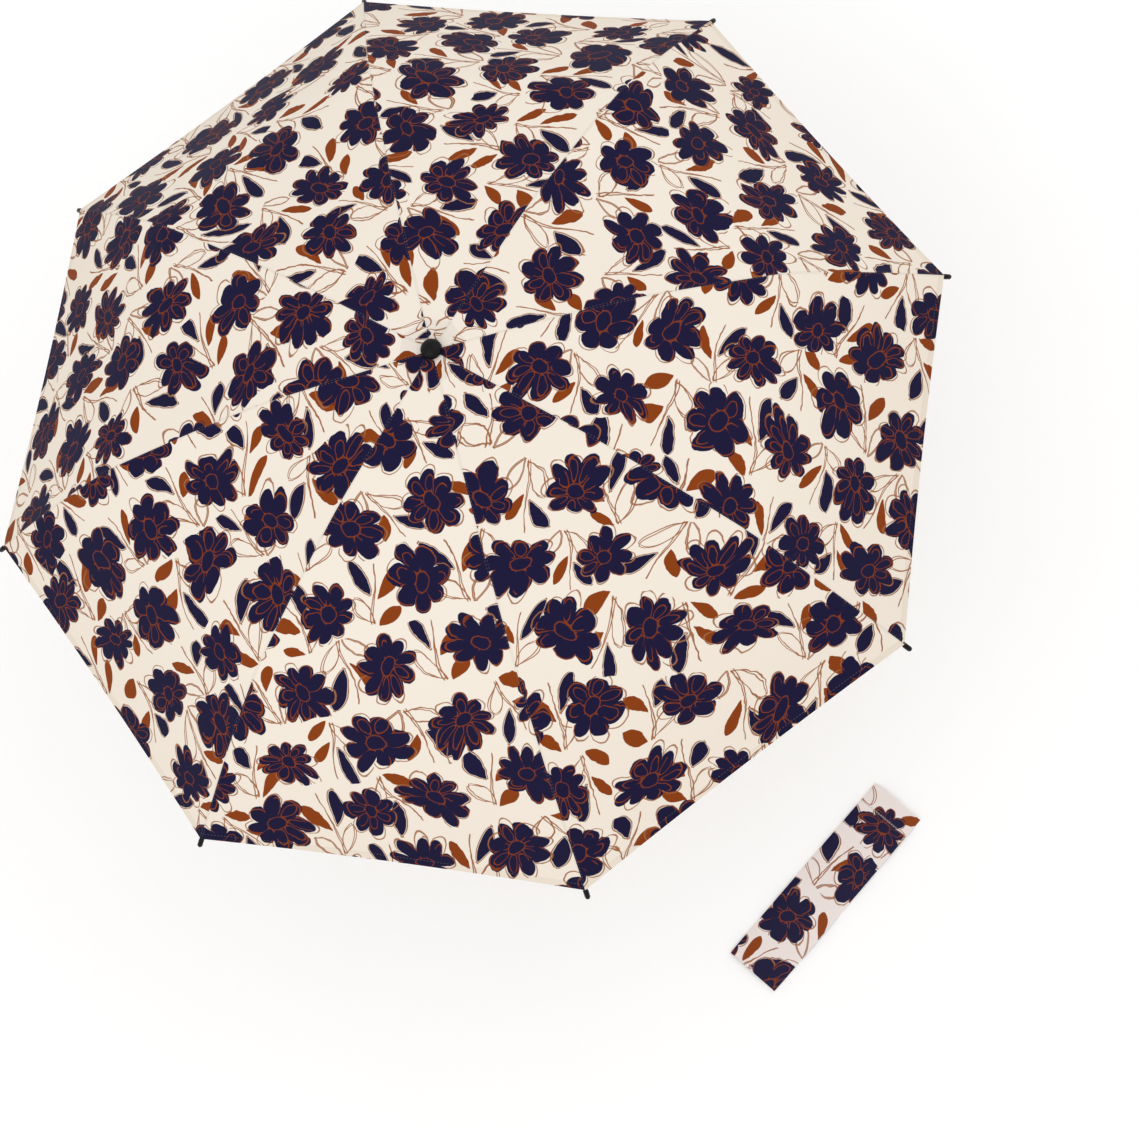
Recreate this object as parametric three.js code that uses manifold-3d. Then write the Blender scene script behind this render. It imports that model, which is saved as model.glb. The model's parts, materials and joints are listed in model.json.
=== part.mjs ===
// A three-fold pocket umbrella, open, standing on the flat end of its handle.
// Millimetres, +Z up. The origin is the centre of the handle's flat end, and +Z runs along the shaft.
// The first rib points along +X, and the others follow anticlockwise as seen from above.
import * as THREE from 'three';
import { mergeVertices } from 'three/addons/utils/BufferGeometryUtils.js';
import Module from 'manifold-3d';

const wasm = await Module();
wasm.setup();

// ---------------------------------------------------------------- driving dimensions
const RIB_COUNT = 8;
const CANOPY_RADIUS = 485; // axis to the end of a rib tip
const FIT_GAP = 0.3; // clearance between neighbouring pieces
const FOLD_GAP = 0.6; // between two rib bars folded flat on each other

// Handle
const HANDLE_LENGTH = 65;
const HANDLE_END_RADIUS = 24.2;
const HANDLE_MIDDLE_RADIUS = 22.3;
const HANDLE_TOP_RADIUS = 18.5;
const HANDLE_EDGE = 2.2; // rounding of the handle's edges
const HANDLE_WALL = 3.2;
const END_CAP_INSET = 4.7; // from the handle's widest radius to the end cap's
const END_CAP_THICKNESS = 2.6;
const BOSS_WALL = 3.4; // wall around the lower tube's socket
const BOSS_END_HEIGHT = 10;
const HEAD_DEPTH = 26; // solid head of the handle, above its hollow

// Accent strip and push button, on the -Y side of the handle
const STRIP_THICKNESS = 1.3;
const STRIP_PROUD = 0.25;
const STRIP_START_HEIGHT = 1.6;
const STRIP_START_WIDTH = 3;
const STRIP_WIDTH = 13.6;
const STRIP_END_MARGIN = 4; // between the strip's top and the handle's top
const BUTTON_RADIUS = 4.6;
const BUTTON_TRAVEL = 1.8;
const BUTTON_PROUD = 2.2;
const BUTTON_FLANGE_WIDTH = 1.1;
const BUTTON_FLANGE_THICKNESS = 1.2;
const BUTTON_STEM_RADIUS = 2;
const BUTTON_BELOW_TOP = 15; // from the handle's top to the button's centre
const SPRING_LENGTH = 4.6;
const SPRING_WIRE_RADIUS = 0.35;
const SPRING_TURNS = 3;

// Shaft: the lower tube is fixed in the handle, and each tube slides inside the next one up
const LOWER_TUBE_RADIUS = 4;
const TUBE_WALLS = { lower: 0.8, middle: 1.1, upper: 1.3 };
const SECTION_TRAVEL = 150; // how far each section slides
const TUBE_STAGGER = 3; // step between the tube ends when the shaft is pushed together
const FOLDED_CLEARANCE = 3; // between the folded rib tips and the handle

// Ribs
const PIVOT_RADIUS = 13.5; // axis to the rib pivots in the crown
const TOP_RIB_LENGTH = 157;
const TOP_RIB_DROP = THREE.MathUtils.degToRad(3.9);
const MIDDLE_RIB_LENGTH = 154;
const MIDDLE_RIB_DROP = THREE.MathUtils.degToRad(16);
const OUTER_RIB_DROP = THREE.MathUtils.degToRad(34);
const OUTER_RIB_BOW = 2.6;
const BAR_HEIGHT = 3.6;
const BAR_WIDTH = 3;
const WIRE_SIZE = 1.8; // the outer rib's section beyond its hinge
const LUG_RADIUS = 2.2;
const LUG_LENGTH = 8; // half-width arm behind a hinge lug
const EYE_RADIUS = 1.9; // round ends in the crown and on the stretchers
const TIP_LENGTH = 10;
const TIP_RADIUS = 2.6;
const TIP_SOCKET_DEPTH = 6;

// Stretchers and runner
const STRETCHER_LENGTH = 105;
const STRETCHER_REACH = 75; // crown pivot to the stretcher's pivot along the top rib
const STRETCHER_HEIGHT = 3;
const STRETCHER_TINE = 1;
const STRETCHER_TANG_WIDTH = 2.6;
const RUNNER_PIVOT_RADIUS = 12.2;
const RUNNER_FLANGE_HALF_HEIGHT = 3;
const RUNNER_SKIRT = 12; // pivots to the runner's lower end
const RUNNER_BORE_GAP = 0.35;

// Crown and finial
const CROWN_TOP = 2.2; // above the rib pivots
const CROWN_DISC_DEPTH = 5; // below the rib pivots
const CROWN_HUB_DEPTH = 14; // below the rib pivots
const CROWN_HUB_WALL = 1.9;
const SLOT_SIDE_GAP = 0.4;
const FINIAL_RADIUS = 10;
const FINIAL_HEIGHT = 9.5;
const FINIAL_POST_RADIUS = 3.5;
const FINIAL_POST_DEPTH = 6;

// Canopy
const FABRIC = 0.8;
const FABRIC_TOP = 4.2; // canopy's outer face above the crown pivots, on the axis
const FABRIC_HOLE_RADIUS = 5;
const FABRIC_ABOVE_UPPER_HINGE = 4;
const FABRIC_ABOVE_LOWER_HINGE = 5.6;
const FABRIC_ABOVE_TIP = 2.6;
const FABRIC_BOW = 4.5; // how far the outer third bows out from a straight line
const FABRIC_TENSION = 0.3; // of the curve over the ribs: 0 is straight lines
const HEM_DIP = 0.008; // share of the seam length by which the hem dips at mid-panel
const PANEL_SAG = 2; // inward sag at mid-panel, at the hem

// Loose carrying sleeve, lying empty on the surface that the handle stands on
const SLEEVE_LENGTH = 245;
const SLEEVE_WIDTH = 63;
const SLEEVE_THICKNESS = 5;
const SLEEVE_CENTRE = new THREE.Vector2(215, -480);
const SLEEVE_TURN = THREE.MathUtils.degToRad(34);

// Facets
const SIDES = { handle: 32, shaft: 16, finial: 24, tip: 8, spring: 6 };

// ---------------------------------------------------------------- derived sizes
const HALF_PANEL = Math.PI / RIB_COUNT;
const barTop = FOLD_GAP / 2; // from a hinge line to the near face of a rib bar
const barFar = barTop + BAR_HEIGHT;
const barMiddle = barTop + BAR_HEIGHT / 2;
const hingeClear = LUG_RADIUS + 2 * FIT_GAP; // where a bar's full width ends, short of its hinge

const middleTubeRadius = LOWER_TUBE_RADIUS + FIT_GAP + TUBE_WALLS.middle;
const upperTubeRadius = middleTubeRadius + FIT_GAP + TUBE_WALLS.upper;
const crownHubRadius = upperTubeRadius + FIT_GAP + CROWN_HUB_WALL;
const crownDiscRadius = PIVOT_RADIUS + EYE_RADIUS + 1.1;
const boreRadius = LOWER_TUBE_RADIUS + FIT_GAP;
const endCapRadius = HANDLE_END_RADIUS - END_CAP_INSET;

// Folded flat, the middle rib lies outside the top rib, and the outer rib outside the middle one.
const foldedDepth = TOP_RIB_LENGTH - MIDDLE_RIB_LENGTH + outerRibLength();
const collapsedPivotHeight = HANDLE_LENGTH + FOLDED_CLEARANCE + foldedDepth;
const pivotHeight = collapsedPivotHeight + 2 * SECTION_TRAVEL;
const collapsedTubeFoot = HANDLE_LENGTH + TUBE_STAGGER;

const crownPivot = new THREE.Vector2(PIVOT_RADIUS, pivotHeight);
const upperHinge = along(crownPivot, TOP_RIB_LENGTH, TOP_RIB_DROP);
const lowerHinge = along(upperHinge, MIDDLE_RIB_LENGTH, MIDDLE_RIB_DROP);
const ribEnd = along(lowerHinge, outerRibLength(), OUTER_RIB_DROP);

// The stretcher runs from the underside of the top rib to the runner.
const stretcherTop = offset(along(crownPivot, STRETCHER_REACH, TOP_RIB_DROP), TOP_RIB_DROP, -barMiddle);
const stretcherSpan = stretcherTop.x - RUNNER_PIVOT_RADIUS;
const runnerHeight = stretcherTop.y - Math.sqrt(STRETCHER_LENGTH ** 2 - stretcherSpan ** 2);
const stretcherDrop = Math.atan2(stretcherTop.y - runnerHeight, -stretcherSpan);

const buttonHeight = HANDLE_LENGTH - BUTTON_BELOW_TOP;
const handleProfile = handleCurve();

// ---------------------------------------------------------------- geometry helpers

/** The point at a distance along a line that drops outwards from start, in the plane of a rib. */
function along(start, distance, drop) {
  return new THREE.Vector2(start.x + distance * Math.cos(drop), start.y - distance * Math.sin(drop));
}

/** A point moved square to a line of the given drop, outwards of the canopy where the amount is positive. */
function offset(point, drop, amount) {
  return new THREE.Vector2(point.x + amount * Math.sin(drop), point.y + amount * Math.cos(drop));
}

/** The outer rib's length, from its hinge to the tip end on the canopy's radius. */
function outerRibLength() {
  const inner = PIVOT_RADIUS
    + TOP_RIB_LENGTH * Math.cos(TOP_RIB_DROP)
    + MIDDLE_RIB_LENGTH * Math.cos(MIDDLE_RIB_DROP);
  return (CANOPY_RADIUS - inner) / Math.cos(OUTER_RIB_DROP);
}

function toSolid(geometry) {
  const bare = geometry.index ? geometry.clone() : geometry;
  bare.deleteAttribute('normal');
  bare.deleteAttribute('uv');
  const merged = mergeVertices(bare, 1e-4);
  return new wasm.Manifold(new wasm.Mesh({
    numProp: 3,
    vertProperties: new Float32Array(merged.attributes.position.array),
    triVerts: new Uint32Array(merged.index.array),
  }));
}

function toGeometry(solid) {
  const mesh = solid.getMesh();
  const geometry = new THREE.BufferGeometry();
  geometry.setAttribute('position', new THREE.BufferAttribute(mesh.vertProperties, 3));
  geometry.setIndex(new THREE.BufferAttribute(mesh.triVerts, 1));
  return geometry;
}

function join(...geometries) {
  return toGeometry(geometries.map(toSolid).reduce((whole, piece) => whole.add(piece)));
}

function cut(geometry, ...tools) {
  return toGeometry(tools.map(toSolid).reduce((whole, tool) => whole.subtract(tool), toSolid(geometry)));
}

function common(first, second) {
  return toGeometry(toSolid(first).intersect(toSolid(second)));
}

/** A solid of revolution about +Z from [radius, height] points that run up the outside, clockwise about the wall. */
function turned(profile, sides) {
  const points = profile.map(([radius, height]) => new THREE.Vector2(radius, height));
  const onAxis = points[0].x === 0 && points.at(-1).x === 0;
  const outline = onAxis ? points : [...points, points[0].clone()];
  return new THREE.LatheGeometry(outline, sides).rotateX(Math.PI / 2);
}

function tube(outerRadius, innerRadius, bottom, top, sides = SIDES.shaft) {
  return turned([[outerRadius, bottom], [outerRadius, top], [innerRadius, top], [innerRadius, bottom]], sides);
}

/** A flat plate cut to an outline in the XZ plane, from y = from to y = to. */
function plate(shape, from, to) {
  const options = { depth: to - from, bevelEnabled: false, curveSegments: 6 };
  return new THREE.ExtrudeGeometry(shape, options).rotateX(Math.PI / 2).translate(0, to, 0);
}

function outline(points) {
  return new THREE.Shape(points.map(([x, y]) => new THREE.Vector2(x, y)));
}

function disc(x, y, radius) {
  return new THREE.Shape().absarc(x, y, radius, 0, 2 * Math.PI);
}

/** A closed sheet from two matching grids of points, the outer one seen from outside with rows up and columns right. */
function sheet(outer, inner) {
  const rows = outer.length;
  const columns = outer[0].length;
  const positions = [...outer.flat(), ...inner.flat()].flatMap((point) => point.toArray());
  const at = (layer, row, column) => (layer * rows + row) * columns + column;
  const faces = [];
  const quad = (a, b, c, d) => faces.push(a, b, c, a, c, d);
  for (let row = 0; row < rows - 1; row += 1) {
    for (let column = 0; column < columns - 1; column += 1) {
      quad(at(0, row, column), at(0, row + 1, column), at(0, row + 1, column + 1), at(0, row, column + 1));
      quad(at(1, row, column), at(1, row, column + 1), at(1, row + 1, column + 1), at(1, row + 1, column));
    }
    quad(at(1, row, 0), at(1, row + 1, 0), at(0, row + 1, 0), at(0, row, 0));
    const last = columns - 1;
    quad(at(0, row, last), at(0, row + 1, last), at(1, row + 1, last), at(1, row, last));
  }
  for (let column = 0; column < columns - 1; column += 1) {
    quad(at(0, 0, column), at(0, 0, column + 1), at(1, 0, column + 1), at(1, 0, column));
    const last = rows - 1;
    quad(at(1, last, column), at(1, last, column + 1), at(0, last, column + 1), at(0, last, column));
  }
  const geometry = new THREE.BufferGeometry();
  geometry.setAttribute('position', new THREE.Float32BufferAttribute(positions, 3));
  geometry.setIndex(faces);
  return geometry;
}

// ---------------------------------------------------------------- materials and nodes

const BLACK_PLASTIC = { color: 0x151515, roughness: 0.55, metalness: 0 };
const SOFT_BLACK = { color: 0x1a1a1b, roughness: 0.75, metalness: 0 };
const BRUSHED_SILVER = { color: 0xc3c5c8, roughness: 0.35, metalness: 0.9 };
const SPRING_STEEL = { color: 0xa8abb0, roughness: 0.3, metalness: 1 };
const GREY_STEEL = { color: 0x9a9da2, roughness: 0.35, metalness: 0.9 };
const BLACK_STEEL = { color: 0x202124, roughness: 0.45, metalness: 0.6 };
const GLASS_FIBRE = { color: 0x2a2b2e, roughness: 0.5, metalness: 0 };
const CREAM_FABRIC = { color: 0xf1e8da, roughness: 0.85, metalness: 0 };

const group = new THREE.Group();

function addNode(name, geometry, finish, parent = group) {
  const mesh = new THREE.Mesh(geometry, new THREE.MeshStandardMaterial(finish));
  mesh.name = name;
  parent.add(mesh);
  return mesh;
}

// ---------------------------------------------------------------- handle

/** The handle's outer radius against height: a gentle flare to the end, rounded at both edges. */
function handleCurve() {
  const flank = new THREE.QuadraticBezierCurve(
    new THREE.Vector2(HANDLE_END_RADIUS, HANDLE_EDGE),
    new THREE.Vector2(HANDLE_MIDDLE_RADIUS, HANDLE_LENGTH / 2),
    new THREE.Vector2(HANDLE_TOP_RADIUS, HANDLE_LENGTH - HANDLE_EDGE),
  );
  return [
    [HANDLE_END_RADIUS - HANDLE_EDGE, 0],
    [HANDLE_END_RADIUS - 0.3 * HANDLE_EDGE, 0.3 * HANDLE_EDGE],
    ...flank.getPoints(7).map((point) => [point.x, point.y]),
    [HANDLE_TOP_RADIUS - 0.3 * HANDLE_EDGE, HANDLE_LENGTH - 0.3 * HANDLE_EDGE],
    [HANDLE_TOP_RADIUS - HANDLE_EDGE, HANDLE_LENGTH],
  ];
}

function handleRadiusAt(height) {
  const above = handleProfile.findIndex((point) => point[1] >= height);
  const [lowRadius, low] = handleProfile[above - 1];
  const [highRadius, high] = handleProfile[above];
  return lowRadius + (highRadius - lowRadius) * (height - low) / (high - low);
}

/** A skin that follows the handle's flank, between two offsets from its surface. */
function flankSkin(inside, outside) {
  const flank = handleProfile.slice(1, -1);
  const outer = flank.map(([radius, height]) => [radius + outside, height]);
  const inner = flank.map(([radius, height]) => [radius + inside, height]).reverse();
  return turned([...outer, ...inner], SIDES.handle);
}

/** The wedge outline of the accent strip, grown by a margin, as a block on the -Y side of the handle. */
function stripBlock(margin) {
  const top = HANDLE_LENGTH - STRIP_END_MARGIN;
  const half = STRIP_WIDTH / 2;
  const foot = STRIP_START_WIDTH / 2;
  const shape = new THREE.Shape();
  shape.moveTo(-foot - margin, STRIP_START_HEIGHT - margin);
  shape.lineTo(foot + margin, STRIP_START_HEIGHT - margin);
  shape.quadraticCurveTo(foot + margin, 0.55 * top, half + margin, buttonHeight);
  shape.absellipse(0, buttonHeight, half + margin, top - buttonHeight + margin, 0, Math.PI, false, 0);
  shape.quadraticCurveTo(-foot - margin, 0.55 * top, -foot - margin, STRIP_START_HEIGHT - margin);
  return plate(shape, -2 * HANDLE_END_RADIUS, 0);
}

/** A round rod along Y at the button's height, between two distances from the axis on the -Y side. */
function buttonRod(radius, near, far, sides = SIDES.finial) {
  return new THREE.CylinderGeometry(radius, radius, far - near, sides)
    .translate(0, -(near + far) / 2, buttonHeight);
}

const buttonFace = handleRadiusAt(buttonHeight);
const flangeRadius = BUTTON_RADIUS + BUTTON_FLANGE_WIDTH;

// The flange lies behind the curved strip, so the strip's inner face over the flange's far edge sets its depth.
const stripInside = handleRadiusAt(buttonHeight + flangeRadius) - STRIP_THICKNESS - FIT_GAP;
const flangeFace = Math.sqrt(stripInside ** 2 - flangeRadius ** 2) - FIT_GAP;
const springSeat = flangeFace - BUTTON_FLANGE_THICKNESS - 2 * FIT_GAP - SPRING_LENGTH;

function makeHandleShell() {
  const hollowTop = HANDLE_LENGTH - HEAD_DEPTH;
  const hollowRadius = endCapRadius - HANDLE_WALL / 2;
  const body = turned([
    ...handleProfile,
    [boreRadius, HANDLE_LENGTH],
    [boreRadius, BOSS_END_HEIGHT],
    [boreRadius + BOSS_WALL, BOSS_END_HEIGHT],
    [boreRadius + BOSS_WALL, hollowTop],
    [hollowRadius, hollowTop],
    [hollowRadius, END_CAP_THICKNESS + FIT_GAP],
    [endCapRadius + FIT_GAP, END_CAP_THICKNESS + FIT_GAP],
    [endCapRadius + FIT_GAP, 0],
  ], SIDES.handle);
  const stripPocket = common(flankSkin(-STRIP_THICKNESS - FIT_GAP, HANDLE_EDGE), stripBlock(FIT_GAP));
  return cut(
    body,
    stripPocket,
    buttonRod(flangeRadius + FIT_GAP, springSeat - FIT_GAP, buttonFace),
    buttonRod(BUTTON_STEM_RADIUS + FIT_GAP, springSeat - BUTTON_TRAVEL, springSeat),
  );
}

function makeEndCap() {
  const edge = END_CAP_THICKNESS / 4;
  return turned([
    [0, 0],
    [endCapRadius - edge, 0],
    [endCapRadius, edge],
    [endCapRadius, END_CAP_THICKNESS],
    [0, END_CAP_THICKNESS],
  ], SIDES.handle);
}

function makeAccentStrip() {
  const skin = common(flankSkin(-STRIP_THICKNESS, STRIP_PROUD), stripBlock(0));
  return cut(skin, buttonRod(BUTTON_RADIUS + FIT_GAP, springSeat, buttonFace + BUTTON_PROUD));
}

function makeButton() {
  const cap = buttonRod(BUTTON_RADIUS, flangeFace - BUTTON_FLANGE_THICKNESS, buttonFace + BUTTON_PROUD, 16);
  const flange = buttonRod(flangeRadius, flangeFace - BUTTON_FLANGE_THICKNESS, flangeFace, 16);
  const stem = buttonRod(BUTTON_STEM_RADIUS, springSeat + FIT_GAP, flangeFace - BUTTON_FLANGE_THICKNESS / 2, 10);
  return join(cap, flange, stem);
}

/** A short coil around the button's stem, from the pocket's floor to the flange. */
function makeButtonSpring() {
  const coilRadius = (BUTTON_STEM_RADIUS + flangeRadius) / 2;
  const start = springSeat + SPRING_WIRE_RADIUS;
  const rise = SPRING_LENGTH - 2 * SPRING_WIRE_RADIUS;
  class Coil extends THREE.Curve {
    getPoint(t, target = new THREE.Vector3()) {
      const turn = 2 * Math.PI * SPRING_TURNS * t;
      return target.set(
        coilRadius * Math.cos(turn),
        -start - rise * t,
        buttonHeight + coilRadius * Math.sin(turn),
      );
    }
  }
  const section = new THREE.Shape();
  for (let side = 0; side < SIDES.spring; side += 1) {
    const angle = 2 * Math.PI * side / SIDES.spring;
    const corner = [SPRING_WIRE_RADIUS * Math.cos(angle), SPRING_WIRE_RADIUS * Math.sin(angle)];
    if (side === 0) {
      section.moveTo(...corner);
    } else {
      section.lineTo(...corner);
    }
  }
  return new THREE.ExtrudeGeometry(section, { steps: 12 * SPRING_TURNS, extrudePath: new Coil() });
}

// ---------------------------------------------------------------- shaft

function makeLowerTube() {
  const top = collapsedPivotHeight - CROWN_HUB_DEPTH + 2 * TUBE_STAGGER;
  return tube(LOWER_TUBE_RADIUS, LOWER_TUBE_RADIUS - TUBE_WALLS.lower, BOSS_END_HEIGHT + 1, top);
}

function makeMiddleTube() {
  const foot = collapsedTubeFoot - TUBE_STAGGER / 2 + SECTION_TRAVEL;
  const top = collapsedPivotHeight - CROWN_HUB_DEPTH + TUBE_STAGGER + SECTION_TRAVEL;
  return tube(middleTubeRadius, middleTubeRadius - TUBE_WALLS.middle, foot, top);
}

function makeUpperTube() {
  const top = pivotHeight + CROWN_TOP - CROWN_DISC_DEPTH + FIT_GAP;
  const foot = collapsedTubeFoot + 2 * SECTION_TRAVEL;
  return tube(upperTubeRadius, upperTubeRadius - TUBE_WALLS.upper, foot, top);
}

// ---------------------------------------------------------------- crown, finial and runner

/** Radial slots for the ribs or stretchers: one open-ended block for each rib. */
function slots(width, inner, outer, bottom, top) {
  return Array.from({ length: RIB_COUNT }, (_, index) => (
    new THREE.BoxGeometry(outer - inner, width, top - bottom)
      .translate((inner + outer) / 2, 0, (bottom + top) / 2)
      .rotateZ(2 * HALF_PANEL * index)
  ));
}

function makeCrown() {
  const top = pivotHeight + CROWN_TOP;
  const seat = top - CROWN_DISC_DEPTH + 2 * FIT_GAP;
  const postBore = FINIAL_POST_RADIUS + FIT_GAP;
  const body = turned([
    [crownHubRadius, pivotHeight - CROWN_HUB_DEPTH],
    [crownHubRadius, pivotHeight - CROWN_DISC_DEPTH],
    [crownDiscRadius, pivotHeight - CROWN_DISC_DEPTH],
    [crownDiscRadius, top - 1],
    [crownDiscRadius - 1, top],
    [postBore, top],
    [postBore, seat],
    [upperTubeRadius + FIT_GAP, seat],
    [upperTubeRadius + FIT_GAP, pivotHeight - CROWN_HUB_DEPTH],
  ], SIDES.finial);
  const slotWidth = BAR_WIDTH + 2 * SLOT_SIDE_GAP;
  return cut(body, ...slots(slotWidth, crownHubRadius, crownDiscRadius + 2, pivotHeight - 8, top + 2));
}

function makeFinial() {
  const base = pivotHeight + FABRIC_TOP + FIT_GAP;
  const dome = Array.from({ length: 6 }, (_, index) => {
    const turn = (index + 1) / 7 * Math.PI / 2;
    return [FINIAL_RADIUS * Math.cos(turn), base + 2 + (FINIAL_HEIGHT - 2) * Math.sin(turn)];
  });
  return turned([
    [0, pivotHeight + CROWN_TOP - FINIAL_POST_DEPTH],
    [FINIAL_POST_RADIUS, pivotHeight + CROWN_TOP - FINIAL_POST_DEPTH],
    [FINIAL_POST_RADIUS, base],
    [FINIAL_RADIUS - 1, base],
    [FINIAL_RADIUS, base + 2],
    ...dome,
    [0, base + FINIAL_HEIGHT],
  ], SIDES.finial);
}

function makeRunner() {
  const bore = upperTubeRadius + RUNNER_BORE_GAP;
  const hub = RUNNER_PIVOT_RADIUS - EYE_RADIUS - 2 * FIT_GAP;
  const flange = RUNNER_PIVOT_RADIUS + EYE_RADIUS + FIT_GAP;
  const flangeTop = runnerHeight + RUNNER_FLANGE_HALF_HEIGHT;
  const flangeFoot = runnerHeight - RUNNER_FLANGE_HALF_HEIGHT;
  const grip = (hub + flange) / 2;
  const body = turned([
    [hub, runnerHeight - RUNNER_SKIRT],
    [grip, runnerHeight - RUNNER_SKIRT + 1.5],
    [hub, flangeFoot - 1.5],
    [flange, flangeFoot],
    [flange, flangeTop],
    [hub, flangeTop + 1.5],
    [bore, flangeTop + 1.5],
    [bore, runnerHeight - RUNNER_SKIRT],
  ], SIDES.finial);
  const slotWidth = STRETCHER_TANG_WIDTH + 2 * SLOT_SIDE_GAP;
  return cut(body, ...slots(slotWidth, hub, flange + 2, flangeFoot - 3, flangeTop + 3));
}

// ---------------------------------------------------------------- ribs, all built along +X from their inner pivot

/** Half the width of a bar: the hinge lugs of two neighbours lie side by side. */
const lugInner = FIT_GAP / 2;
const lugOuter = BAR_WIDTH / 2;

/** A hinge lug at x on the left (+Y) or right (-Y) half, with an arm along the bar from one height to another. */
function hingeLug(x, armEnd, low, high, left) {
  const [from, to] = left ? [lugInner, lugOuter] : [-lugOuter, -lugInner];
  const arm = outline([[Math.min(x, armEnd), low], [Math.max(x, armEnd), low],
    [Math.max(x, armEnd), high], [Math.min(x, armEnd), high]]);
  return join(plate(disc(x, 0, LUG_RADIUS), from, to), plate(arm, from, to));
}

function makeTopRib() {
  const end = TOP_RIB_LENGTH - hingeClear;
  const bar = outline([
    [0, -EYE_RADIUS],
    [5, -barFar],
    [end, -barFar],
    [end, -barTop],
    [3, -barTop],
    [0, EYE_RADIUS],
  ]);
  return join(
    plate(disc(0, 0, EYE_RADIUS), -lugOuter, lugOuter),
    plate(bar, -lugOuter, lugOuter),
    hingeLug(TOP_RIB_LENGTH, TOP_RIB_LENGTH - LUG_LENGTH, -barFar, -barTop, true),
  );
}

function makeMiddleRib() {
  const end = MIDDLE_RIB_LENGTH - hingeClear;
  const bar = outline([
    [hingeClear, -barFar],
    [end, barTop],
    [end, barFar],
    [hingeClear, -barTop],
  ]);
  return join(
    plate(bar, -lugOuter, lugOuter),
    hingeLug(0, LUG_LENGTH, -barFar, -barTop, false),
    hingeLug(MIDDLE_RIB_LENGTH, MIDDLE_RIB_LENGTH - LUG_LENGTH, barTop, barFar, true),
  );
}

/** Height of the outer rib's wire above the line from its hinge to the tip. */
function wireHeight(x) {
  const share = x / outerRibLength();
  return barMiddle * (1 - share) + OUTER_RIB_BOW * 4 * share * (1 - share);
}

const wireEndSlope = -(barMiddle + 4 * OUTER_RIB_BOW) / outerRibLength();

function makeOuterRib() {
  const start = hingeClear;
  const taper = 5 * LUG_LENGTH;
  const end = outerRibLength() - TIP_LENGTH + TIP_SOCKET_DEPTH - FIT_GAP;
  const steps = 8;
  const upper = [];
  const lower = [];
  for (let step = 0; step <= steps; step += 1) {
    const x = step === 0 ? start : taper + (end - taper) * (step - 1) / (steps - 1);
    const half = step === 0 ? BAR_HEIGHT / 2 : WIRE_SIZE / 2;
    upper.push([x, wireHeight(x) + half]);
    lower.push([x, wireHeight(x) - half]);
  }
  return join(
    plate(outline([...lower, ...upper.reverse()]), -WIRE_SIZE / 2, WIRE_SIZE / 2),
    hingeLug(0, LUG_LENGTH, barTop, barFar, false),
  );
}

/** A tip cap along +X that ends at the origin, with a blind socket for the wire's end. */
function makeTip() {
  const socket = WIRE_SIZE / 2 * Math.SQRT2 + FIT_GAP;
  const round = TIP_RADIUS * 0.8;
  return turned([
    [socket, -TIP_LENGTH],
    [TIP_RADIUS - 0.5, -TIP_LENGTH],
    [TIP_RADIUS, -TIP_LENGTH + 1],
    [TIP_RADIUS, -round],
    [TIP_RADIUS * 0.7, -round * 0.3],
    [0, 0],
    [0, TIP_SOCKET_DEPTH - TIP_LENGTH],
    [socket, TIP_SOCKET_DEPTH - TIP_LENGTH],
  ], SIDES.tip).rotateY(Math.PI / 2);
}

/** A fork whose tines straddle the top rib, and whose single tang sits in the runner. */
function makeStretcher() {
  const inner = BAR_WIDTH / 2 + FIT_GAP;
  const outer = inner + STRETCHER_TINE;
  const slotEnd = TOP_RIB_LENGTH - STRETCHER_REACH + LUG_RADIUS + 3 * FIT_GAP; // past the folded top rib
  const fork = slotEnd + 4;
  const tang = STRETCHER_TANG_WIDTH / 2;
  const end = STRETCHER_LENGTH + EYE_RADIUS * 0.8;
  const height = STRETCHER_HEIGHT / 2;
  const plan = outline([
    [-EYE_RADIUS, inner],
    [slotEnd, inner],
    [slotEnd, -inner],
    [-EYE_RADIUS, -inner],
    [-EYE_RADIUS, -outer],
    [fork, -outer],
    [fork + 3, -tang],
    [end, -tang],
    [end, tang],
    [fork + 3, tang],
    [fork, outer],
    [-EYE_RADIUS, outer],
  ]);
  return new THREE.ExtrudeGeometry(plan, { depth: 2 * height, bevelEnabled: false }).translate(0, 0, -height);
}

function addRib(index) {
  const frame = new THREE.Group();
  frame.rotation.z = 2 * HALF_PANEL * index;
  group.add(frame);
  const number = index + 1;
  const place = (name, geometry, finish, point, drop) => {
    const mesh = addNode(`${name}_${number}`, geometry, finish, frame);
    mesh.position.set(point.x, 0, point.y);
    mesh.rotation.y = drop;
  };
  place('top_rib', makeTopRib(), BLACK_STEEL, crownPivot, TOP_RIB_DROP);
  place('middle_rib', makeMiddleRib(), BLACK_STEEL, upperHinge, MIDDLE_RIB_DROP);
  place('outer_rib', makeOuterRib(), GLASS_FIBRE, lowerHinge, OUTER_RIB_DROP);
  place('rib_tip', makeTip(), BLACK_PLASTIC, ribEnd, OUTER_RIB_DROP - Math.atan(wireEndSlope));
  place('stretcher', makeStretcher(), BLACK_STEEL, stretcherTop, stretcherDrop);
}

// ---------------------------------------------------------------- canopy

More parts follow.
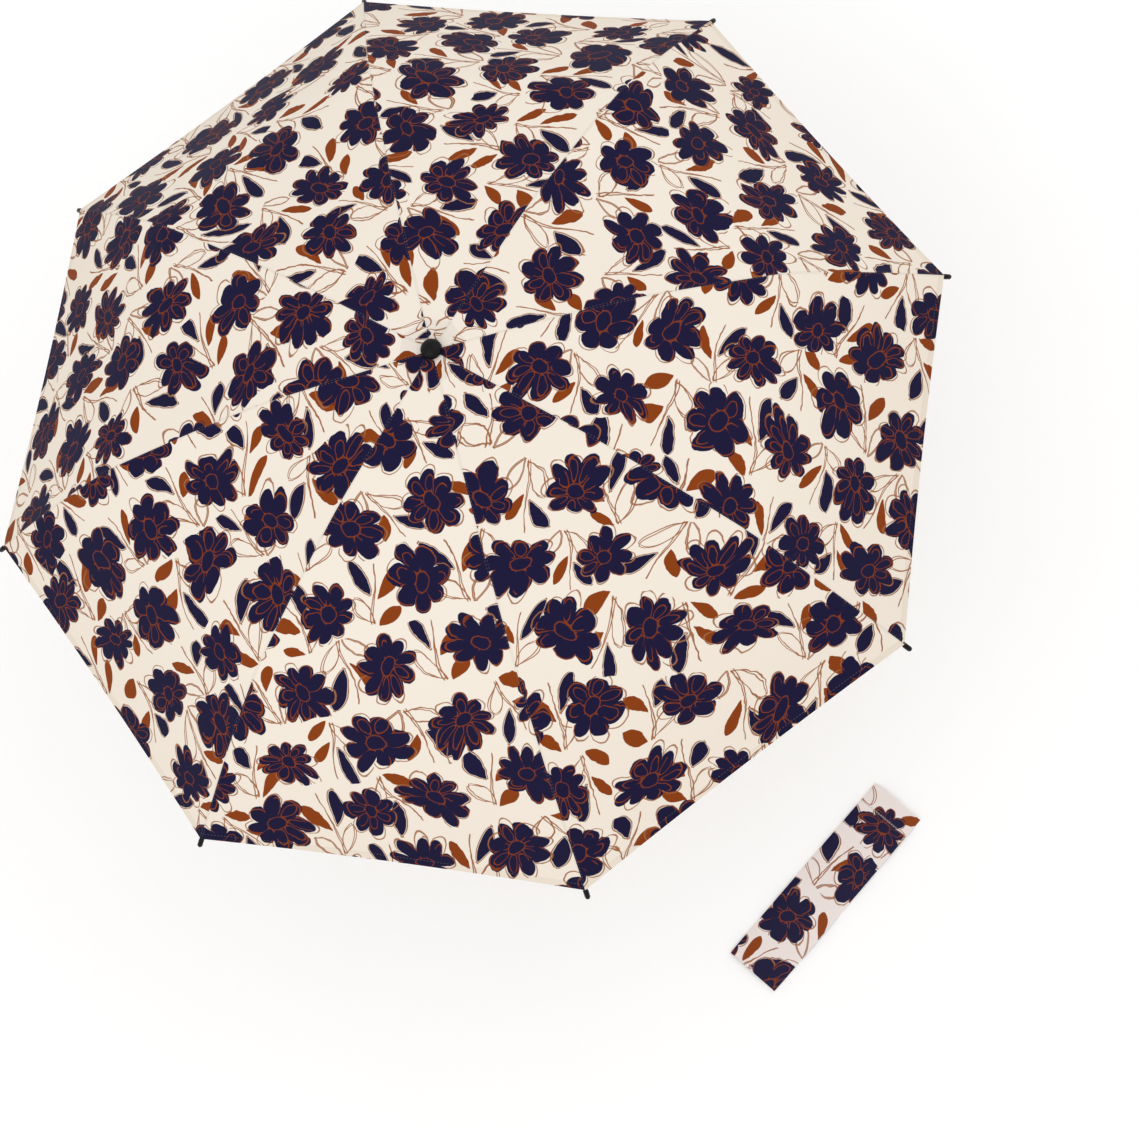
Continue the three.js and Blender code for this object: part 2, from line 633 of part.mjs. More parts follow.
/** The canopy's outer face over a rib, from its centre hole to the tip, in the plane of the rib. */
function ridgeCurve() {
  const upperDrop = (TOP_RIB_DROP + MIDDLE_RIB_DROP) / 2;
  const lowerDrop = (MIDDLE_RIB_DROP + OUTER_RIB_DROP) / 2;
  const top = new THREE.Vector2(FABRIC_HOLE_RADIUS / Math.cos(HALF_PANEL), pivotHeight + FABRIC_TOP);
  const upper = offset(upperHinge, upperDrop, FABRIC_ABOVE_UPPER_HINGE);
  const lower = offset(lowerHinge, lowerDrop, FABRIC_ABOVE_LOWER_HINGE);
  const hemPoint = along(ribEnd, -TIP_LENGTH - 2 * FIT_GAP, OUTER_RIB_DROP - Math.atan(wireEndSlope));
  const hem = offset(hemPoint, OUTER_RIB_DROP, FABRIC_ABOVE_TIP);
  const outer = offset(lower.clone().lerp(hem, 0.5), OUTER_RIB_DROP, FABRIC_BOW);
  const points = [top, upper, lower, outer, hem].map((point) => new THREE.Vector3(point.x, 0, point.y));
  return new THREE.CatmullRomCurve3(points, false, 'catmullrom', FABRIC_TENSION);
}

const ridge = ridgeCurve();

/** A point of a panel: share 0 at the hole to 1 at the hem, across -1 to 1 from rib to rib, depth into the cloth. */
function panelPoint(share, across, depth, index) {
  const middle = 1 - across ** 2;
  const station = share * (1 - HEM_DIP * middle);
  const point = ridge.getPoint(station);
  const tangent = ridge.getTangent(station);
  const inward = new THREE.Vector3(tangent.z, 0, -tangent.x);
  point.addScaledVector(inward, PANEL_SAG * middle * station ** 2 + depth);
  const halfWidth = point.x * Math.sin(HALF_PANEL) - FIT_GAP / 2;
  return new THREE.Vector3(point.x * Math.cos(HALF_PANEL), across * halfWidth, point.z)
    .applyAxisAngle(new THREE.Vector3(0, 0, 1), HALF_PANEL * (2 * index + 1));
}

function makePanel(index) {
  const rows = 3 * (ridge.points.length - 1); // so that a row lies over each hinge
  const columns = 4;
  const grid = (depth) => Array.from({ length: rows + 1 }, (_, row) => (
    Array.from({ length: columns + 1 }, (__, column) => (
      panelPoint(row / rows, 2 * column / columns - 1, depth, index)
    ))
  ));
  return sheet(grid(0), grid(FABRIC));
}

// ---------------------------------------------------------------- carrying sleeve

/** An empty fabric tube lying flat, with its side folds rounded and its closed end square. */
function makeSleeve() {
  const half = SLEEVE_THICKNESS / 2;
  const flat = SLEEVE_WIDTH / 2 - half;
  const section = new THREE.Shape();
  section.moveTo(-flat, -half);
  section.lineTo(flat, -half);
  section.absarc(flat, 0, half, -Math.PI / 2, Math.PI / 2);
  section.lineTo(-flat, half);
  section.absarc(-flat, 0, half, Math.PI / 2, 1.5 * Math.PI);
  const options = { depth: SLEEVE_LENGTH, bevelEnabled: false, curveSegments: 6 };
  return new THREE.ExtrudeGeometry(section, options)
    .translate(0, 0, -SLEEVE_LENGTH / 2)
    .rotateX(Math.PI / 2)
    .rotateZ(Math.PI / 2);
}

// ---------------------------------------------------------------- assembly

addNode('handle_shell', makeHandleShell(), SOFT_BLACK);
addNode('handle_end_cap', makeEndCap(), BLACK_PLASTIC);
addNode('accent_strip', makeAccentStrip(), BRUSHED_SILVER);
addNode('push_button', makeButton(), BLACK_PLASTIC);
addNode('button_spring', makeButtonSpring(), SPRING_STEEL);
addNode('lower_tube', makeLowerTube(), GREY_STEEL);
addNode('middle_tube', makeMiddleTube(), GREY_STEEL);
addNode('upper_tube', makeUpperTube(), BLACK_STEEL);
addNode('runner', makeRunner(), BLACK_PLASTIC);
addNode('crown', makeCrown(), BLACK_PLASTIC);
addNode('finial', makeFinial(), BLACK_PLASTIC);
for (let index = 0; index < RIB_COUNT; index += 1) {
  addRib(index);
  addNode(`canopy_panel_${index + 1}`, makePanel(index), CREAM_FABRIC);
}
const sleeve = addNode('carrying_sleeve', makeSleeve(), CREAM_FABRIC);
sleeve.position.set(SLEEVE_CENTRE.x, SLEEVE_CENTRE.y, SLEEVE_THICKNESS / 2);
sleeve.rotation.z = SLEEVE_TURN;

export default group;
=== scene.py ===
"""Looks for a folding umbrella with a printed canopy, an automatic handle and a loose sleeve.

Metres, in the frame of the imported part: the handle's flat end is on the floor and the shaft
points up +Z. Rib 1 points along +X and the others follow anticlockwise, an eighth turn apart.
"""

import json
import math

import bpy
from mathutils import Matrix, Vector


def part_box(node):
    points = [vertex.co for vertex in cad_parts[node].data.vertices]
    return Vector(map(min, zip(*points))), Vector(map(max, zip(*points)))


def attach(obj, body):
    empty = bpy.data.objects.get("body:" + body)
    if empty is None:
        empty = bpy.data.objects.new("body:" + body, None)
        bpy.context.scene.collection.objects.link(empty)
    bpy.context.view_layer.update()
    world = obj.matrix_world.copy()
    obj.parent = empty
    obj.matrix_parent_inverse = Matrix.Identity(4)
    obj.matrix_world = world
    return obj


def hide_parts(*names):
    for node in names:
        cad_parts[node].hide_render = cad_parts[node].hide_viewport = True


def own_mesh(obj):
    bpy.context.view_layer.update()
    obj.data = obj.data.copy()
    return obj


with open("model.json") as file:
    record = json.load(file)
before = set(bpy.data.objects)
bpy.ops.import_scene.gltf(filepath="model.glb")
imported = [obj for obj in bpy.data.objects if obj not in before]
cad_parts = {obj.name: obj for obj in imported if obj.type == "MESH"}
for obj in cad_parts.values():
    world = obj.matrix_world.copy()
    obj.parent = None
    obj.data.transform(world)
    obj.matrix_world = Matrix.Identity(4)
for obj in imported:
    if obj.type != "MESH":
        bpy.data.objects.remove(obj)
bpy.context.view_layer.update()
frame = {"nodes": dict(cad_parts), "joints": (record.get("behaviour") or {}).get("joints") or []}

# ---------------------------------------------------------------- sizes
RIBS = 8
TURN = 2 * math.pi / RIBS
HALF_TURN = TURN / 2

CANOPY_RADIUS = 0.485
OUTER_RIB_DROP = math.radians(34)
TIP_OVERLAP = 0.0106  # rib end back to the hem, along the rib
WIRE_DROP = 0.0125  # how far the outer rib's wire bows below its straight line, at its end
FABRIC_HOLE_RADIUS = 0.005
FABRIC_TOP = 0.0042
FABRIC_ABOVE_UPPER_HINGE = 0.004
FABRIC_ABOVE_LOWER_HINGE = 0.0056
FABRIC_ABOVE_TIP = 0.0026
FABRIC_BOW = 0.0045
FABRIC_TENSION = 0.3
HEM_DIP = 0.008
PANEL_SAG = 0.002
CLOTH = 0.0005  # thickness of the cloth
CENTRE_RADIUS = 0.019  # of the cloth that stays on the crown

HEM_WIDTH = 0.007
SEAM_WIDTH = 0.0014  # half the width of a sewn seam between two panels
STITCH_STEP = 0.0032  # one stitch to the next, on the canopy
SLEEVE_STITCH_STEP = 0.0030
CANOPY_THREAD = 0.00042  # one thread of the weave to the next
SLEEVE_THREAD = 0.00038
PATCH_RADIUS = 0.027  # reinforcement under the cloth, round the finial

SLEEVE_LENGTH = 0.245
SLEEVE_WIDTH = 0.063
SLEEVE_THICKNESS = 0.005
SLEEVE_CENTRE = Vector((0.215, -0.480, 0))
SLEEVE_TURN = math.radians(34)
SLEEVE_HEM = 0.024  # from the mouth to the line of stitches
SLEEVE_CLOSED_SHARE = 0.10  # of the sleeve's length, over which it thins to its closed end
SLEEVE_CUT_FROM = (7.03, 2.065)  # its place on the printed cloth
SLEEVE_WRINKLE = 0.00035
SLEEVE_SQUARENESS = 0.8  # below 1, the top and bottom are flatter than an ellipse

# The print, in metres before it is scaled onto the cloth
PRINT_COLUMN = 0.098  # one flower to the next
PRINT_ROW = 0.080
PRINT_SCALE = 0.86
PETAL_LENGTH = 0.0150  # half the length
PETAL_REACH = 0.0195  # flower's middle to the petal's middle
FLOWER_PETAL_SUM = 0.0790  # half the width of a petal, times the number of petals
EYE_SIZE = (0.0100, 0.0078)
STEM_REACH = 0.036
EDGE_SOFT = 0.0003  # blur at the edge of a printed shape
LINE_SOFT = 0.00025
WARP = 0.055  # how far the slow wobble moves the print
SHAKE = 0.0030  # how far the quick wobble does

# Each panel is cut from its own place on the printed cloth, in its own direction
PANEL_CUT_START = (3.1, 5.3)
PANEL_CUT_STEP = (1.37, 0.83)
PANEL_CUT_TURN = (0.35, 2.1)  # the first panel's extra turn, and each panel's turn

CREAM = (0.902, 0.823, 0.723)
NAVY = (0.0095, 0.0070, 0.040)
RUST = (0.258, 0.048, 0.004)
TAN = (0.350, 0.135, 0.055)
SLEEVE_GROUND = (0.86, 0.775, 0.745)
THREAD = (0.60, 0.54, 0.47)
# painted shade: the darker colour that the canopy's underside is mixed towards
BACK_PAINTED_SHADE = (0.60, 0.52, 0.44)
BACK_PRINT = 0.55  # the share of the print that shows through to the underside
SKY_STRENGTH = 0.86


# ---------------------------------------------------------------- arithmetic in a material
class Value:
    """A number inside a material's nodes, so that a pattern reads as plain arithmetic."""

    def __init__(self, tree, socket):
        self.tree = tree
        self.socket = socket

    def maths(self, operation, *others):
        node = self.tree.nodes.new("ShaderNodeMath")
        node.operation = operation
        for slot, item in zip(node.inputs, (self, *others)):
            plug(self.tree, slot, item)
        return Value(self.tree, node.outputs[0])

    def __add__(self, other):
        return self.maths("ADD", other)

    __radd__ = __add__

    def __sub__(self, other):
        return self.maths("SUBTRACT", other)

    def __rsub__(self, other):
        return self.maths("MULTIPLY_ADD", -1.0, other)

    def __mul__(self, other):
        return self.maths("MULTIPLY", other)

    __rmul__ = __mul__

    def __truediv__(self, other):
        return self.maths("DIVIDE", other)

    def __abs__(self):
        return self.maths("ABSOLUTE")


def plug(tree, slot, item):
    """Gives a node's input a number, a colour or another node's output."""
    if isinstance(item, Value):
        tree.links.new(item.socket, slot)
    elif isinstance(item, bpy.types.NodeSocket):
        tree.links.new(item, slot)
    else:
        slot.default_value = item


def floor(v):
    return v.maths("FLOOR")


def sine(v):
    return v.maths("SINE")


def cosine(v):
    return v.maths("COSINE")


def root(v):
    return v.maths("SQRT")


def least(a, b):
    return a.maths("MINIMUM", b)


def most(a, b):
    return a.maths("MAXIMUM", b)


def angle_of(y, x):
    return y.maths("ARCTAN2", x)


def length(x, y):
    return root(x * x + y * y)


def ramp(v, low, high):
    """0 below low, 1 above high, smooth between."""
    node = v.tree.nodes.new("ShaderNodeMapRange")
    node.interpolation_type = "SMOOTHSTEP"
    plug(v.tree, node.inputs["Value"], v)
    plug(v.tree, node.inputs["From Min"], low)
    plug(v.tree, node.inputs["From Max"], high)
    return Value(v.tree, node.outputs["Result"])


def below(v, edge, soft):
    """1 where v is less than edge, 0 where it is more."""
    return 1.0 - ramp(v, edge - soft, edge + soft)


def turned(x, y, angle):
    """The point (x, y) turned about the origin; angle is a Value."""
    c, s = cosine(angle), sine(angle)
    return x * c + y * s, y * c - x * s


def turned_by(x, y, angle):
    """The point (x, y) turned about the origin; angle is a plain number."""
    c, s = math.cos(angle), math.sin(angle)
    return x * c + y * s, y * c - x * s


def chances(x, y, z=0.0):
    """Three random numbers from 0 to 1 for the cell (x, y, z)."""
    tree = x.tree
    join = tree.nodes.new("ShaderNodeCombineXYZ")
    for slot, item in zip(join.inputs, (x, y, z)):
        plug(tree, slot, item)
    dice = tree.nodes.new("ShaderNodeTexWhiteNoise")
    tree.links.new(join.outputs[0], dice.inputs["Vector"])
    split = tree.nodes.new("ShaderNodeSeparateColor")
    tree.links.new(dice.outputs["Color"], split.inputs[0])
    return [Value(tree, out) for out in split.outputs]


def noise(tree, vector, scale, detail=2.0, roughness=0.5):
    node = tree.nodes.new("ShaderNodeTexNoise")
    node.inputs["Scale"].default_value = scale
    node.inputs["Detail"].default_value = detail
    node.inputs["Roughness"].default_value = roughness
    tree.links.new(vector, node.inputs["Vector"])
    return Value(tree, node.outputs["Fac"])


def blend_colour(tree, share, first, second):
    """first where share is 0, second where it is 1."""
    node = tree.nodes.new("ShaderNodeMix")
    node.data_type = "RGBA"
    plug(tree, node.inputs[0], share)
    for slot, item in ((node.inputs[6], first), (node.inputs[7], second)):
        plug(tree, slot, (*item, 1.0) if isinstance(item, tuple) else item)
    return node.outputs[2]


def tinted(tree, share, colour, tint):
    """colour multiplied by tint where share is 1, and left alone where it is 0."""
    made = blend_colour(tree, share, colour, tint)
    made.node.blend_type = "MULTIPLY"
    return made


def bump(tree, height, strength, distance, below_it=None):
    node = tree.nodes.new("ShaderNodeBump")
    node.inputs["Strength"].default_value = strength
    node.inputs["Distance"].default_value = distance
    plug(tree, node.inputs["Height"], height)
    if below_it is not None:
        tree.links.new(below_it, node.inputs["Normal"])
    return node.outputs["Normal"]


def new_material(name, **settings):
    """A material with one Principled shader. Returns the material, its tree and the shader."""
    material = bpy.data.materials.new(name)
    material.use_nodes = True
    tree = material.node_tree
    shader = tree.nodes["Principled BSDF"]
    for socket, value in settings.items():
        shader.inputs[socket.replace("_", " ")].default_value = value
    return material, tree, shader


def finish(tree, shader, colour, rough, normal):
    """Wires the pattern of a material to its shader."""
    plug(tree, shader.inputs["Base Color"], colour)
    plug(tree, shader.inputs["Roughness"], rough)
    plug(tree, shader.inputs["Normal"], normal)


def attribute(tree, name):
    """The three numbers stored on the mesh under that name, and the vector itself."""
    node = tree.nodes.new("ShaderNodeAttribute")
    node.attribute_name = name
    split = tree.nodes.new("ShaderNodeSeparateXYZ")
    tree.links.new(node.outputs["Vector"], split.inputs[0])
    return [Value(tree, out) for out in split.outputs], node.outputs["Vector"]


def coordinates(tree):
    return tree.nodes.new("ShaderNodeTexCoord").outputs["Object"]


# ---------------------------------------------------------------- the print
def cells(x, y, shift):
    """Brick cells: the place inside the cell, from its middle, and the cell's own numbers."""
    row = floor(y / PRINT_ROW)
    half = row * 0.5
    offset = half - floor(half) + shift
    column = floor(x / PRINT_COLUMN - offset)
    inside_x = x - (column + offset + 0.5) * PRINT_COLUMN
    inside_y = y - (row + 0.5) * PRINT_ROW
    return inside_x, inside_y, column, row


def petals(x, y, count, column, row, seed, long, reach, wide):
    """How far a point is outside the nearest petal of a flower, in metres."""
    around = angle_of(y, x) / (2 * math.pi) + 0.5
    step = around * count
    nearest = floor(step + 0.5)
    wrapped = nearest - floor(nearest / count) * count
    first, second, third = chances(column + seed, row, wrapped)
    swing = (step - nearest + (first - 0.5) * 0.16) * (2 * math.pi) / count
    radius = length(x, y)
    out = reach * (0.9 + second * 0.24)
    along = (radius * cosine(swing) - out) / (long * (0.92 + second * 0.2))
    across = radius * sine(swing) / (wide * (0.88 + third * 0.22) * (1.0 + 0.13 * along))
    return (length(along, across) - 1.0) * wide


def flowers(x, y, patchy):
    """Fill and outlines of the flowers; veins are drawn only where patchy is high."""
    in_x, in_y, column, row = cells(x, y, 0.0)
    one, two, three = chances(column, row)
    in_x = in_x + (one - 0.5) * 0.024
    in_y = in_y + (two - 0.5) * 0.018
    in_x, in_y = turned(in_x, in_y, three * (2 * math.pi))
    in_x = in_x * (0.95 + two * 0.12)
    in_y = in_y * (0.96 + one * 0.16)
    count = floor(one * 2.99) + 7.0
    wide = count.maths("POWER", -1.0) * FLOWER_PETAL_SUM
    edge = petals(in_x, in_y, count, column, row, 0.0, PETAL_LENGTH, PETAL_REACH, wide)
    heart = below(length(in_x, in_y), 0.0125, EDGE_SOFT)
    fill = most(below(edge, 0.0, EDGE_SOFT), heart)
    line_x, line_y = turned_by(in_x + 0.0012, in_y - 0.0009, 0.05)
    outline = petals(line_x, line_y, count, column, row, 7.0, 0.0148, 0.0212, wide * 0.95)
    line = below(abs(outline), 0.00052, LINE_SOFT)
    eye = (length(in_x / EYE_SIZE[0], in_y / EYE_SIZE[1]) - 1.0) * 0.0088
    ring = below(abs(eye), 0.0006, LINE_SOFT)
    hidden = below(eye, 0.0, 0.0002)
    vein_x, vein_y = line_x - 0.0020, line_y + 0.0016
    vein = petals(vein_x, vein_y, count, column, row, 3.0, 0.0100, 0.0190, wide * 0.5)
    veins = below(abs(vein), 0.00035, LINE_SOFT) * ramp(patchy, 0.50, 0.52)
    lines = most(most(line, veins) * (1.0 - hidden), ring * 0.8)
    return fill, lines


def leaf(x, y, place_x, place_y, angle, long, wide):
    """How far a point is outside one pointed leaf, in metres."""
    along, across = turned_by(x - place_x, y - place_y, angle)
    share = least(abs(along) / (long / 2), 1.0)
    belly = (1.0 - share * share).maths("POWER", 0.75) * (wide / 2)
    skew = 1.0 + along / long * 0.7
    return most(abs(across) - belly * skew, abs(along) - long / 2)


def sprigs(x, y):
    """Navy leaves, rust leaves, and the lines of stems and leaves between the flowers."""
    in_x, in_y, column, row = cells(x, y, 0.5)
    one, two, three = chances(column, row, 5.0)
    side = floor(one * 1.999) * 2.0 - 1.0
    flip = floor(three * 1.999) * 2.0 - 1.0
    in_x = (in_x + (two - 0.5) * 0.010) * side
    in_y = (in_y + (one - 0.5) * 0.012) * flip
    in_x, in_y = turned(in_x, in_y, (two - 0.5) * 0.9)
    bend = sine(in_y / 0.019) * 0.0035
    stem = abs(in_x - bend)
    twin = abs(in_x - bend * 0.55 - 0.0012)
    reach = abs(in_y + 0.002)
    stems = below(least(stem, twin), 0.0006, EDGE_SOFT) * below(reach, STEM_REACH, 0.001)
    navy_leaf = leaf(in_x, in_y, -0.0135, 0.019, math.radians(118), 0.040, 0.0145)
    rust_leaf = leaf(in_x, in_y, 0.0145, 0.007, math.radians(52), 0.034, 0.0132)
    bare_leaf = leaf(in_x, in_y, -0.0125, -0.019, math.radians(128), 0.041, 0.0165)
    twin_leaf = leaf(in_x, in_y, -0.0115, -0.0185, math.radians(123), 0.043, 0.0140)
    last_leaf = leaf(in_x, in_y, 0.0150, -0.027, math.radians(48), 0.033, 0.0128)
    swap = ramp(two, 0.5, 0.501)
    halo = least(navy_leaf * (1.0 - swap) + last_leaf * swap, navy_leaf)
    navy = below(navy_leaf, 0.0, EDGE_SOFT)
    rust = below(least(rust_leaf, last_leaf + swap * 0.02), 0.0, EDGE_SOFT)
    drawn = least(abs(bare_leaf), abs(twin_leaf))
    drawn = least(drawn, abs(last_leaf + 0.0003))
    drawn = least(drawn, abs(halo - 0.0011))
    lines = most(stems, below(drawn, 0.00060, EDGE_SOFT))
    return navy, rust, lines


def print_colour(tree, wear=1.0, ground=CREAM):
    """The printed cloth's colour. wear is the share of the print's strength."""
    (x, y, _), vector = attribute(tree, "print")
    x, y = x / PRINT_SCALE, y / PRINT_SCALE
    wobble = noise(tree, vector, 9.0, 1.0)
    wobble_2 = noise(tree, vector, 13.0, 1.0)
    warped_x = x + (wobble - 0.5) * WARP
    warped_y = y + (wobble_2 - 0.5) * WARP
    shake = (noise(tree, vector, 130.0, 1.0) - 0.5) * SHAKE
    warped_x = warped_x + shake
    warped_y = warped_y - shake
    fill, lines = flowers(warped_x, warped_y, noise(tree, vector, 26.0, 0.0))
    navy, rust, stems = sprigs(warped_x, warped_y)
    free = 1.0 - fill
    colour = blend_colour(tree, stems, ground, TAN)
    colour = blend_colour(tree, rust, colour, RUST)
    colour = blend_colour(tree, navy, colour, NAVY)
    colour = blend_colour(tree, fill, colour, NAVY)
    over = blend_colour(tree, free, RUST, TAN)
    colour = blend_colour(tree, lines * 0.92, colour, over)
    if wear < 1:  # the cloth's back, where the print only shows through
        colour = blend_colour(tree, 1 - wear, colour, ground)
    return colour, vector


def weave(tree, vector, thread, strength):
    """A plain weave's bump over the print."""
    node = tree.nodes.new("ShaderNodeSeparateXYZ")
    tree.links.new(vector, node.inputs[0])
    x, y = Value(tree, node.outputs[0]), Value(tree, node.outputs[1])
    warp = sine(x * (math.pi / thread))
    weft = sine(y * (math.pi / thread))
    height = warp * weft * 0.5 + 0.5
    crease = noise(tree, vector, 22.0, 3.0)
    normal = bump(tree, crease, 0.12, 0.004)
    return bump(tree, height, strength, 0.00012, normal), height


def canopy_cloth(name, wear, shade):
    """Printed pongee with sewn seams along the ribs and a stitched hem, darkened towards the hem
    as painted shade. shade, when given, is a painted shade mixed into the colour, for the
    underside.
    """
    material, tree, shader = new_material(
        name, Sheen_Weight=0.02, Sheen_Roughness=0.45, Specular_IOR_Level=0.08
    )
    colour, vector = print_colour(tree, wear)
    (from_seam, from_hem, from_axis), _ = attribute(tree, "edges")
    seam = below(from_seam, SEAM_WIDTH, 0.0004)
    colour = tinted(tree, seam * 0.5, colour, (0.86, 0.86, 0.86))
    patch = below(from_axis, PATCH_RADIUS, 0.0008)
    colour = tinted(tree, patch * 0.7, colour, (0.88, 0.88, 0.90))
    # Painted shade: the colour darkens towards the hem, where the canopy curves down; tone adds
    # random patches of the cloth's own tone.
    rim = ramp(from_axis, 0.28, 0.54) * 0.35
    tone = noise(tree, vector, 3.0, 2.0) * 0.25
    colour = tinted(tree, rim + tone, colour, (0.86, 0.82, 0.77))
    hem = below(from_hem, HEM_WIDTH, 0.0003)
    colour = tinted(tree, hem * 0.4, colour, (0.86, 0.82, 0.78))
    dash = sine(from_axis * (2 * math.pi / STITCH_STEP))
    thread = below(abs(from_seam - 0.0011), 0.00025, 0.0001) * ramp(dash, -0.2, 0.2)
    (along_hem, _, _), _ = attribute(tree, "gore")
    hem_dash = sine(along_hem * (2 * math.pi / STITCH_STEP))
    hem_thread = below(abs(from_hem - HEM_WIDTH + 0.0012), 0.0003, 0.0001)
    stitch = most(thread, hem_thread * ramp(hem_dash, -0.2, 0.2))
    colour = blend_colour(tree, stitch * 0.13, colour, THREAD)
    # Painted shade on the underside: the colour is mixed 30 % towards a darker brown.
    if shade:
        colour = blend_colour(tree, 0.30, colour, shade)
    normal, threads = weave(tree, vector, CANOPY_THREAD, 0.25)
    ridge = most(seam * 0.7, hem * 0.5) + patch * 0.3 + stitch * 0.5
    normal = bump(tree, ridge, 0.4, 0.0004, normal)
    finish(tree, shader, colour, 0.58 + threads * 0.10, normal)
    return material


def sleeve_cloth():
    """The same print on a satin that shines more, with a stitched hem at the mouth."""
    material, tree, shader = new_material(
        "sleeve_cloth", Sheen_Weight=0.02, Sheen_Roughness=0.35, Specular_IOR_Level=0.16
    )
    colour, vector = print_colour(tree, 1.0, SLEEVE_GROUND)
    (from_mouth, from_side, _), _ = attribute(tree, "edges")
    dash = sine(from_side * (2 * math.pi / SLEEVE_STITCH_STEP))
    stitch = below(abs(from_mouth - SLEEVE_HEM), 0.00035, 0.0001) * ramp(dash, -0.3, 0.1)
    # The groove along the line of stitches is pressed in by the bump, and darkened as painted
    # shade.
    groove_and_painted_shade = below(abs(from_mouth - SLEEVE_HEM), 0.0009, 0.0006)
    colour = blend_colour(tree, groove_and_painted_shade * 0.25, colour, (0.45, 0.38, 0.36))
    colour = blend_colour(tree, stitch * 0.5, colour, (0.86, 0.78, 0.74))
    normal, threads = weave(tree, vector, SLEEVE_THREAD, 0.22)
    normal = bump(tree, stitch * 0.5 - groove_and_painted_shade, 0.8, 0.0005, normal)
    finish(tree, shader, colour, 0.36 + threads * 0.10, normal)
    return material


# ---------------------------------------------------------------- plain materials
def rubbery_black():
    """Handle: soft-touch black, slightly mottled."""
    material, tree, shader = new_material("soft_touch_black", Specular_IOR_Level=0.22)
    place = coordinates(tree)
    grain = noise(tree, place, 2600.0, 2.0)
    cloud = noise(tree, place, 60.0, 3.0)
    colour = blend_colour(tree, cloud, (0.0040, 0.0040, 0.0043), (0.0075, 0.0075, 0.0080))
    rough = 0.38 + grain * 0.10 + cloud * 0.06
    finish(tree, shader, colour, rough, bump(tree, grain, 0.12, 0.0001))
    return material


def moulded_black():
    """Moulded plastic with a faint orange peel."""
    material, tree, shader = new_material("moulded_black")
    place = coordinates(tree)
    peel = noise(tree, place, 700.0, 2.0)
    dust = noise(tree, place, 90.0, 4.0)
    colour = blend_colour(tree, dust, (0.010, 0.010, 0.010), (0.020, 0.020, 0.021))
    finish(tree, shader, colour, 0.34 + dust * 0.16, bump(tree, peel, 0.10, 0.0002))
    return material


def gloss_black():
    """Polished black plastic."""
    material, tree, shader = new_material("gloss_black", Specular_IOR_Level=0.12)
    place = coordinates(tree)
    smear = noise(tree, place, 240.0, 3.0)
    colour = blend_colour(tree, smear, (0.004, 0.004, 0.004), (0.010, 0.010, 0.010))
    finish(tree, shader, colour, 0.16 + smear * 0.14, bump(tree, smear, 0.05, 0.0002))
    return material


def stretched(tree, place, x, y, z):
    """Coordinates scaled by x, y and z, so that a noise draws lines."""
    node = tree.nodes.new("ShaderNodeMapping")
    node.inputs["Scale"].default_value = (x, y, z)
    tree.links.new(place, node.inputs["Vector"])
    return node.outputs["Vector"]


def brushed_metal(name, low, high, roughness, squeeze):
    """Metal with fine brush lines; squeeze is how the lines are stretched along x, y and z."""
    material, tree, shader = new_material(name, Metallic=1.0)
    place = coordinates(tree)
    lines = noise(tree, stretched(tree, place, *squeeze), 1.0, 3.0, 0.6)
    cloud = noise(tree, place, 45.0, 3.0)
    colour = blend_colour(tree, lines * 0.7 + cloud * 0.3, low, high)
    finish(tree, shader, colour, roughness + lines * 0.16, bump(tree, lines, 0.10, 0.0001))
    return material


def painted_black():
    """Black painted steel of the rib bars, rubbed a little in random patches."""
    material, tree, shader = new_material("painted_black")
    place = coordinates(tree)
    rub = noise(tree, place, 130.0, 5.0, 0.65)
    edge = ramp(rub, 0.66, 0.80) * 0.5
    colour = blend_colour(tree, edge, (0.012, 0.012, 0.013), (0.085, 0.085, 0.085))
    finish(tree, shader, colour, 0.30 + rub * 0.18, bump(tree, rub, 0.08, 0.0002))
    plug(tree, shader.inputs["Metallic"], edge * 0.6)
    return material


def glass_fibre():
    """Dark glass-fibre rod with fine lengthwise fibres."""
    material, tree, shader = new_material("glass_fibre", Coat_Weight=0.3)
    place = coordinates(tree)
    fibres = noise(tree, stretched(tree, place, 60.0, 60.0, 900.0), 1.0, 3.0, 0.6)
    colour = blend_colour(tree, fibres, (0.010, 0.010, 0.012), (0.042, 0.042, 0.046))
    finish(tree, shader, colour, 0.26 + fibres * 0.16, bump(tree, fibres, 0.08, 0.0001))
    return material


def floor_finish():
    """A pale floor that glows a little, so that it stays as white as a studio sweep."""
    material, tree, shader = new_material(
        "pale_floor",
        Roughness=0.75,
        Specular_IOR_Level=0.1,
        Emission_Color=(1.0, 1.0, 1.0, 1.0),
        Emission_Strength=0.14,
    )
    speck = noise(tree, coordinates(tree), 3.0, 3.0)
    colour = blend_colour(tree, speck, (0.90, 0.90, 0.90), (0.93, 0.93, 0.93))
    tree.links.new(colour, shader.inputs["Base Color"])
    return material


# ---------------------------------------------------------------- the canopy's surface
def joint_place(name):
    """Radius and height of rib 1's joint of that name."""
    found = next(j for j in frame["joints"] if j["name"] == name)
    x, _, z = found["pos_m"]
    return Vector((x, z))


def away(point, drop, distance):
    """A point moved square to a rib that drops by that angle, upwards and outwards."""
    return point + Vector((math.sin(drop), math.cos(drop))) * distance


